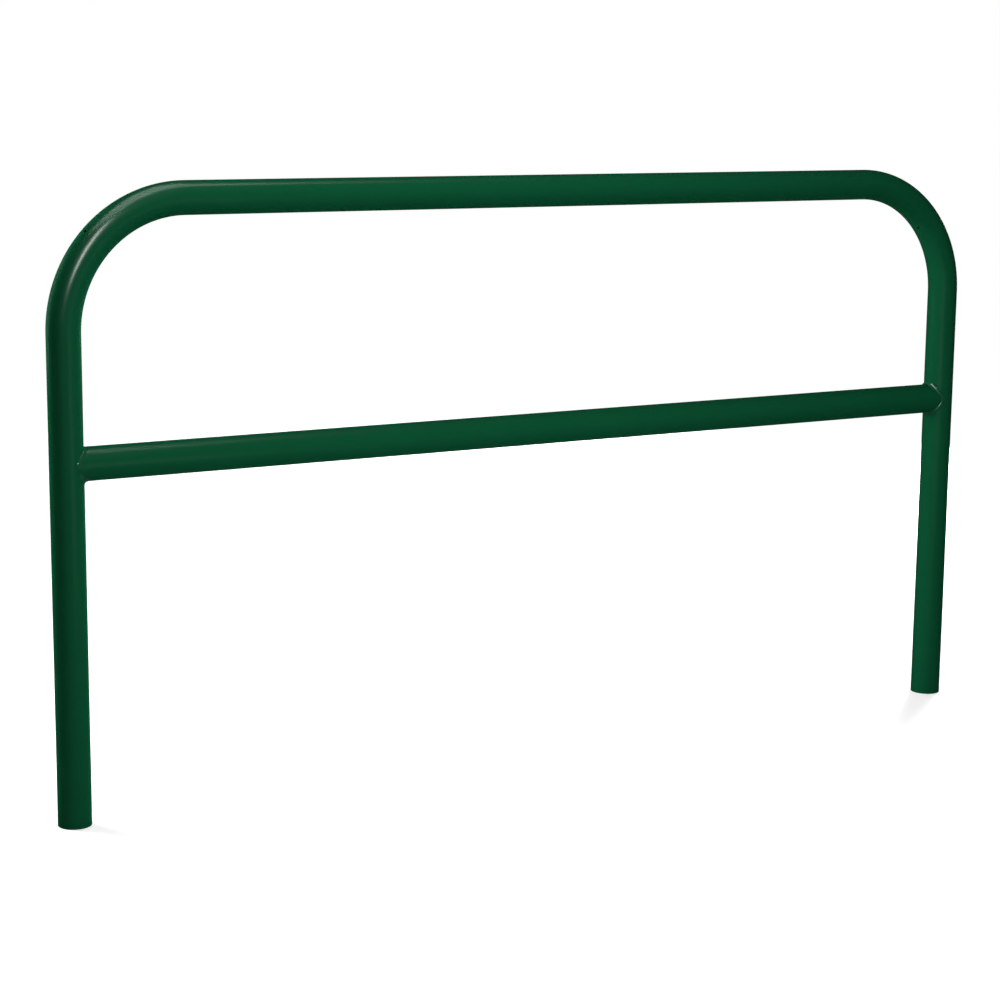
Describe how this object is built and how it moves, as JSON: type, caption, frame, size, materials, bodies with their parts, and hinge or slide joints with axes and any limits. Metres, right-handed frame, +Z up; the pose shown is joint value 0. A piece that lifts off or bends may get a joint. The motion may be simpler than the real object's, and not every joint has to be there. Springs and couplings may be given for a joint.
{
  "type": "hoop barrier",
  "caption": "Hoop of bent round steel tube with rounded upper corners, a coped cross rail welded between its legs, and open cut ends that are set in the ground.",
  "frame": {"origin": "middle of the left leg's cut end", "axes": "+X along the barrier from the left leg to the right leg, +Y away from the side that the picture shows, +Z up"},
  "size_m": [2, 0.0626, 1.12],
  "materials": {
    "green_paint": "satin moss green powder coat over galvanised steel"
  },
  "bodies": {
    "root": {"hoop": "green_paint", "cross_rail": "green_paint", "left_weld": "green_paint", "right_weld": "green_paint"}
  },
  "joints": []
}
